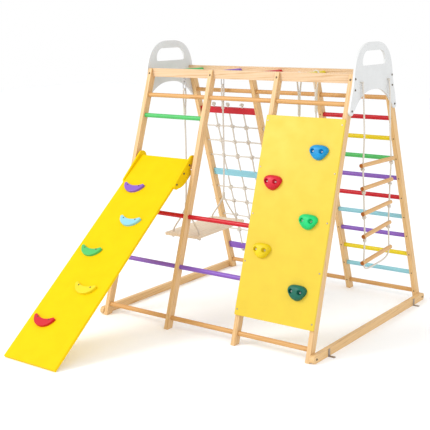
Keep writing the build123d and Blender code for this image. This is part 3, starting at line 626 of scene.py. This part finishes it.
for name, side in (("near", -1), ("far", 1)):
    hole_y = side * LADDER_HOLE_Y
    tail, tail_line = rope(
        f"rope_ladder_{name}_tail",
        [
            at(plate_low[0] - 0.006, hole_y, LADDER_PIVOT_Z),
            at(plate_high[0] - 0.003, hole_y, LADDER_PIVOT_Z),
            at(LADDER_PIVOT_X, hole_y, LADDER_PIVOT_Z - 0.0005),
        ],
        LADDER_ROPE, "frame", CLOSE_STEP,
    )
    inner = at(plate_low[0] - LADDER_KNOT, hole_y, LADDER_PIVOT_Z)
    tied = knot(f"rope_ladder_{name}_inner_knot", inner, LADDER_KNOT, "frame", (0, pi / 2, side))
    tilt = (0.6, 0.5, side)
    bend = knot(f"rope_ladder_{name}_bend", tail_line[-1], BEND_KNOT, "frame", tilt, BEND_THREAD)
    for part_of_anchor in (tail, tied, bend):
        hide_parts("rope_ladder_anchors")

# The stained ends of the rungs, slightly crowned
radius = LADDER_RUNG / 2
end_profile = [
    (radius * 0.97, -0.002),
    (radius, 0.0),
    (radius * 0.93, 0.0012),
    (radius * 0.6, 0.0016),
    (0.001, 0.0017),
]
for number in range(len(LADDER_LEVELS)):
    for name, half in (("near", -1), ("far", 1)):
        end = ladder_point(number, half * LADDER_RUNG_LENGTH / 2)
        outward = (end - ladder_point(number, 0)).normalized()
        disc_name = f"rope_ladder_rung_{number + 1}_{name}_end"
        disc = turned_disc(disc_name, end, outward, end_profile, end_stain, "rope_ladder")

# ---------------------------------------------------------------- gym rings
RING_ROPE = 0.009
RING_X = middle("monkey_bar_4").x
BAR_Z = middle("monkey_bar_4").z
BAR_RADIUS = 0.0125
RING_GRIP = 0.026
RING_SPLICE = (1.120, 1.250)
RING_BINDING = 0.0085
RING_SIDE_BY_SIDE = 0.0047
RING_NECK = 0.070  # from the ring's grip up to its splice
LOWER_SPLICE = 0.040


def eye_route(x, y, splice_z, around_z, radius):
    """A spliced eye: from the splice round a bar and back."""
    up_sign = 1 if around_z > splice_z else -1
    corner = radius / cos(pi / 8)
    turns = [radians(45 * step) for step in range(-1, 6)]
    loop = [at(x + corner * cos(turn), y, around_z + up_sign * corner * sin(turn)) for turn in turns]
    end_z = splice_z - up_sign * EYE_SINK
    ends = [at(x + side * RING_SIDE_BY_SIDE, y, end_z) for side in (1, -1)]
    return [ends[0]] + loop + [ends[1]]


for row, side in (("front", -1), ("rear", 1)):
    body = f"gym_ring_{row}_set"
    node = f"gym_ring_rope_{row}"
    ring_low, ring_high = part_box(f"gym_ring_{row}")
    y = (ring_low[1] + ring_high[1]) / 2 - MID_Y
    grip_z = ring_high[2] - RING_GRIP / 2
    lower = grip_z + RING_NECK
    gap = RING_ROPE / 2 + 0.0005
    top_eye, _ = rope(
        f"{node}_bar_eye",
        eye_route(RING_X, y, RING_SPLICE[1], BAR_Z, BAR_RADIUS + gap), RING_ROPE, body, CLOSE_STEP,
    )
    low_eye, _ = rope(
        f"{node}_ring_eye",
        eye_route(RING_X, y, lower, grip_z, RING_GRIP / 2 + gap), RING_ROPE, body, CLOSE_STEP,
    )
    rope_foot = at(RING_X, y, 0)
    upper_splice = bound_rope(f"{node}_upper_splice", rope_foot, *RING_SPLICE, RING_BINDING, body)
    lower_splice = bound_rope(
        f"{node}_lower_splice", rope_foot, lower, lower + LOWER_SPLICE, RING_BINDING, body
    )
    single, single_line = rope(
        f"{node}_drop",
        [
            at(RING_X, y, RING_SPLICE[0] + 0.006),
            at(RING_X + 0.0015, y + side * 0.0015, (RING_SPLICE[0] + lower + LOWER_SPLICE) / 2),
            at(RING_X, y, lower + 0.034),
        ],
        RING_ROPE, body,
    )
    for part_of_rope in (top_eye, low_eye, upper_splice, lower_splice, single):
        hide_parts(node)

# ---------------------------------------------------------------- climbing net
NET_X = (leg_rear[0][0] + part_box("leg_rear_2")[1][0]) / 2
NET_ROPE = 0.010
NET_PITCH = 0.104
NET_HALF_WIDTH = 0.204
NET_KNOT = 0.012
NET_BEND = 0.006
END_SWELL = 0.002
CROSSING_SWELL = 0.004
NET_STEP = 0.003
NET_ROWS = (0.980, 0.883, 0.787, 0.574, 0.479, 0.380, 0.282)
PLANK_TOP = 1.090
PLANK_MIDDLE = 0.680
PLANK_BOTTOM = 0.170
PLANK_HEIGHT = 0.040
TIE_GAP = 0.006  # from a leg's side to the middle of the knot outside it
NET_SWAY = (0.004, 0.003)  # how far from even the knots may lie, sideways and up
net_columns = [NET_X - NET_PITCH, NET_X, NET_X + NET_PITCH]


def net_point(x, z):
    """A point of the net's leaning plane, in the middle of the rear legs' depth."""
    return at(x, BASE_HALF - LEAN * z - LEG_RUN / 2, z)


def net_knot(row, column):
    """The knot where a row and a column of the net cross, a few millimetres from even."""
    sway_x = NET_SWAY[0] * sin(2.1 * row + 1.3 * column)
    sway_z = NET_SWAY[1] * sin(1.7 * row + 2.6 * column)
    return net_point(net_columns[column] + sway_x, NET_ROWS[row] + sway_z)


knot_reach = (PLANK_HEIGHT / 2 + NET_KNOT) * cos(LEAN_ANGLE)
clear_of_plank = (PLANK_HEIGHT / 2 + NET_BEND + 0.001) * cos(LEAN_ANGLE)
for column, x in enumerate(net_columns):
    knots = [net_knot(row, column) for row in range(len(NET_ROWS))]
    head = [net_point(x, PLANK_TOP + knot_reach), net_point(x, PLANK_TOP - clear_of_plank)]
    middle_hole = [net_point(x, PLANK_MIDDLE + side * clear_of_plank) for side in (1, -1)]
    foot = [net_point(x, PLANK_BOTTOM + clear_of_plank), net_point(x, PLANK_BOTTOM - knot_reach)]
    route = head + knots[:3] + middle_hole + knots[3:] + foot
    upright_rope, line = rope(f"net_upright_{column + 1}", route, NET_ROPE, "frame", NET_STEP)
    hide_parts("climbing_net")
    for place, label in ((route[0], "head"), (route[-1], "foot")):
        knot_name = f"net_upright_{column + 1}_{label}"
        knot(knot_name, place, NET_KNOT + END_SWELL, "frame", (0.3, 0.2, column))
        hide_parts("climbing_net")

for row, z in enumerate(NET_ROWS):
    crossings = [net_knot(row, column) for column in range(len(net_columns))]
    left = net_point(NET_X - NET_HALF_WIDTH + 0.0003, z)
    right_end = net_point(NET_X + NET_HALF_WIDTH - 0.0003, z)
    route = [left] + crossings + [right_end]
    cross_rope, line = rope(f"net_row_{row + 1}", route, NET_ROPE, "frame", NET_STEP)
    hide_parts("climbing_net")
    tied = []
    for column, place in enumerate(crossings):
        turn = (0.7 * row, 0.5 * column, 1.1 * row + column)
        knot_name = f"net_knot_{row + 1}_{column + 1}"
        tied.append(knot(knot_name, place, NET_KNOT + CROSSING_SWELL, "frame", turn))
        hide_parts("climbing_net")
    for label, side in (("left", -1), ("right", 1)):
        outer = net_point(NET_X + side * (NET_HALF_WIDTH + LEG_WIDTH + TIE_GAP), z)
        tilt = (0.2 * row, pi / 2, side)
        tie = knot(f"net_row_{row + 1}_{label}_tie", outer, NET_KNOT, "frame", tilt)
        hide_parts("climbing_net")

# ---------------------------------------------------------------- climbing holds
WALL_OUT = Vector((0, -cos(LEAN_ANGLE), sin(LEAN_ANGLE)))
WALL_UP = Vector((0, sin(LEAN_ANGLE), cos(LEAN_ANGLE)))
WALL_THICKNESS = 0.012
HOLD_SIZE = (0.108, 0.082, 0.032)
HOLD_COLUMNS = (0.545, 0.307)
HOLD_LOWEST = 0.323
HOLD_PITCH = 0.1745
HOLD_STEPS = 48  # rings from the wall to the crown
HOLD_SIDES = 112
HOLD_FILL = 0.94  # mean reach of the outline, as a share of the half sizes
LOBE_DEPTH = 0.10
LOBE_FADE = 0.55  # how much shallower the lobes are at the crown
EDGE_RINGS = 4  # rings near the wall, which the dimples leave alone
HOLD_SCREW_X = 0.025
DIMPLE_RADIUS = 0.0120
DIMPLE_DEPTH = 0.015
DIMPLE_STEEPNESS = 8
SCREW_SEAT = 0.0145
HOLD_SCREW_PROFILE = [
    (0.0055, 0.0),
    (0.0052, 0.0016),
    (0.0036, 0.0026),
    (0.0026, 0.0027),
    (0.0022, 0.0008),
    (0.0004, 0.0008),
]


def hold_outline(turn, lobes):
    """A soft oval with three shallow lobes, as a share of its half sizes."""
    return HOLD_FILL * (1 + lobes * cos(3 * (turn + pi / 2)))


def hold_height(u, v, level_share):
    """The surface's height over the wall, with a round dimple sunk at each screw."""
    dimple = 0.0
    for screw_x in (-HOLD_SCREW_X, HOLD_SCREW_X):
        distance = sqrt((u - screw_x) ** 2 + v**2)
        dimple += max(0.0, 1 - (distance / DIMPLE_RADIUS) ** DIMPLE_STEEPNESS)
    return HOLD_SIZE[2] * level_share - DIMPLE_DEPTH * min(1.0, dimple)


for number, colour in enumerate(HOLD_COLOURS):
    node = f"climbing_hold_{number + 1}"
    foot = at(HOLD_COLUMNS[number % 2], -BASE_HALF, 0)
    centre = foot + WALL_UP * (HOLD_LOWEST + HOLD_PITCH * number) + WALL_OUT * WALL_THICKNESS
    rings = []
    for i in range(HOLD_STEPS + 1):
        rise = pi / 2 * i / HOLD_STEPS
        share = max(0.02, cos(rise) ** 0.62)
        ring = []
        for k in range(HOLD_SIDES):
            turn = 2 * pi * k / HOLD_SIDES
            reach = hold_outline(turn, LOBE_DEPTH * (1 - LOBE_FADE * sin(rise)))
            u = HOLD_SIZE[0] / 2 * reach * share * cos(turn)
            v = HOLD_SIZE[1] / 2 * reach * share * sin(turn)
            level = sin(rise) ** 0.85
            h = hold_height(u, v, level) if i > EDGE_RINGS else HOLD_SIZE[2] * level
            ring.append(centre + Vector((u, 0, 0)) + WALL_UP * v + WALL_OUT * max(0.0, h))
        rings.append(ring)
    resin = moulded(f"resin_{number + 1}", colour)
    made = piece(node + "_body", rings_mesh(node, rings), resin, "frame")
    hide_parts(node)
    for label, screw_x in (("left", -HOLD_SCREW_X), ("right", HOLD_SCREW_X)):
        seat = centre + Vector((screw_x, 0, 0)) + WALL_OUT * SCREW_SEAT
        screw_name = f"{node}_{label}_screw"
        screw = turned_disc(screw_name, seat, WALL_OUT, HOLD_SCREW_PROFILE, zinc, "frame", 20)

# ---------------------------------------------------------------- slide grips
RUNG = middle("rung_front_slide")
SLIDE_X = middle("slide_board").x
SLIDE_BELOW = 1.350  # from the slide's foot up its slope to the rung
BOARD_TOP = 0.0278  # from the rung's axis out to the board's face
SLIDE_ANGLE = radians(38.71)
SLIDE_UP = Vector((0, cos(SLIDE_ANGLE), sin(SLIDE_ANGLE)))
SLIDE_OUT = Vector((0, -sin(SLIDE_ANGLE), cos(SLIDE_ANGLE)))
GRIP_WIDTH = 0.138
GRIP_DROP = 0.060
GRIP_THICKNESS = 0.014
GRIP_EDGE = 0.004
HORN_WIDTH = 0.011
CRESCENT_WIDTH = 0.017
GRIP_LOWEST = 0.225
GRIP_PITCH = 0.226
GRIP_COLUMNS = (-0.077, 0.043)


def three_point_arc(start, through, end, count):
    """Points of the arc from start to end through a point between them, all in two dimensions."""
    ax, ay = start
    bx, by = through
    cx, cy = end
    d = 2 * (ax * (by - cy) + bx * (cy - ay) + cx * (ay - by))
    ux = ((ax**2 + ay**2) * (by - cy) + (bx**2 + by**2) * (cy - ay) + (cx**2 + cy**2) * (ay - by)) / d
    uy = ((ax**2 + ay**2) * (cx - bx) + (bx**2 + by**2) * (ax - cx) + (cx**2 + cy**2) * (bx - ax)) / d
    radius = sqrt((ax - ux) ** 2 + (ay - uy) ** 2)
    first = atan2(ay - uy, ax - ux)
    between = (atan2(by - uy, bx - ux) - first) % (2 * pi)
    last = (atan2(cy - uy, cx - ux) - first) % (2 * pi)
    sweep = last if between < last else last - 2 * pi
    turns = [first + sweep * i / count for i in range(count + 1)]
    return [(ux + radius * cos(turn), uy + radius * sin(turn)) for turn in turns]


half = GRIP_WIDTH / 2
tip = GRIP_DROP / 2
outer_end = tip - 0.004
inner_end = tip + 0.002
inner_half = half - HORN_WIDTH
outer_arc = three_point_arc((-half, outer_end), (0, -tip), (half, outer_end), 36)
inner_arc = three_point_arc(
    (inner_half, inner_end), (0, tip - CRESCENT_WIDTH), (-inner_half, inner_end), 28
)
crescent = outer_arc + inner_arc

for number, colour in enumerate(("red", "yellow", "green", "cyan", "purple")):
    up_slope = GRIP_LOWEST + GRIP_PITCH * number - SLIDE_BELOW
    centre = Vector((SLIDE_X + GRIP_COLUMNS[number % 2], RUNG.y, RUNG.z))
    centre += SLIDE_UP * up_slope + SLIDE_OUT * BOARD_TOP
    shape = bmesh.new()
    low_ring = [shape.verts.new(centre + Vector((u, 0, 0)) + SLIDE_UP * v) for u, v in crescent]
    base = shape.faces.new(low_ring)
    raised = bmesh.ops.extrude_face_region(shape, geom=[base])["geom"]
    top_verts = [item for item in raised if isinstance(item, bmesh.types.BMVert)]
    bmesh.ops.translate(shape, verts=top_verts, vec=SLIDE_OUT * GRIP_THICKNESS)
    top_face = [item for item in raised if isinstance(item, bmesh.types.BMFace)][0]
    bmesh.ops.bevel(
        shape, geom=list(top_face.edges), offset=GRIP_EDGE, segments=4,
        profile=0.6, affect="EDGES", clamp_overlap=True,
    )
    bmesh.ops.recalc_face_normals(shape, faces=shape.faces)
    mesh = bpy.data.meshes.new(f"slide_grip_{number + 1}")
    shape.to_mesh(mesh)
    shape.free()
    made = piece(f"slide_grip_{number + 1}", mesh, rung_paint[colour], "slide", smooth=False)
    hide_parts("slide_grips")

# ---------------------------------------------------------------- small screws that hold the rungs
RUNG_SCREW_PROFILE = [
    (0.0038, -0.001),
    (0.0038, 0.0002),
    (0.0032, 0.0009),
    (0.0018, 0.0010),
    (0.0013, 0.0002),
    (0.0003, 0.0002),
]
RUNG_COUNT = 11
RUNG_PITCH = 0.1153
RUNG_LOWEST = 0.056
SCREW_FACING = (0, -cos(LEAN_ANGLE), -sin(LEAN_ANGLE))
for number in (3, 4):
    leg_x = middle(f"leg_rear_{number}").x
    for step in range(RUNG_COUNT):
        z = RUNG_LOWEST + step * RUNG_PITCH
        inner_face = at(leg_x, BASE_HALF - LEAN * z - LEG_RUN, z)
        screw = turned_disc(
            f"rung_screw_{number}_{step + 1}", inner_face, SCREW_FACING, RUNG_SCREW_PROFILE,
            dark_screw, "frame", 16,
        )

# ---------------------------------------------------------------- floor and light
FLOOR_HALF = 14
FLOOR_TONES = ((0.93, 0.95, 0.972), (0.945, 0.962, 0.982))
FLOOR_GLOW = 0.06
WHITE = (1.0, 1.0, 1.0, 1.0)
LAMP_TARGET = (0, 0, 0.6)

floor_corners = [(x * FLOOR_HALF, y * FLOOR_HALF, 0) for x, y in ((-1, -1), (1, -1), (1, 1), (-1, 1))]
floor_mesh = bpy.data.meshes.new("floor")
floor_mesh.from_pydata(floor_corners, [], [(0, 1, 2, 3)])
floor = bpy.data.objects.new("floor", floor_mesh)
bpy.context.collection.objects.link(floor)
pale = Surface("pale_floor", Specular_IOR_Level=0.2, Emission_Color=WHITE, Emission_Strength=FLOOR_GLOW)
soft_cloud = pale.noise(pale.place, 0.6, 2.0)
pale.set(pale.shader, Base_Color=pale.mix(soft_cloud, *FLOOR_TONES), Roughness=0.6)
floor_mesh.materials.append(pale.material)

world = bpy.data.worlds.new("studio")
world.use_nodes = True
world.node_tree.nodes["Background"].inputs["Color"].default_value = WHITE
world.node_tree.nodes["Background"].inputs["Strength"].default_value = 1.0
bpy.context.scene.world = world


def soft_light(name, place, target, size, power):
    """A large square lamp aimed at a point."""
    data = bpy.data.lights.new(name, "AREA")
    data.size = size
    data.energy = power
    lamp = bpy.data.objects.new(name, data)
    lamp.location = place
    lamp.rotation_euler = (Vector(target) - Vector(place)).to_track_quat("-Z", "Y").to_euler()
    bpy.context.collection.objects.link(lamp)


soft_light("key", (-3.6, -4.6, 4.4), LAMP_TARGET, size=2.6, power=250)
soft_light("fill", (4.5, -1.5, 3.0), LAMP_TARGET, size=3.5, power=40)
bpy.context.scene.view_settings.view_transform = "Standard"
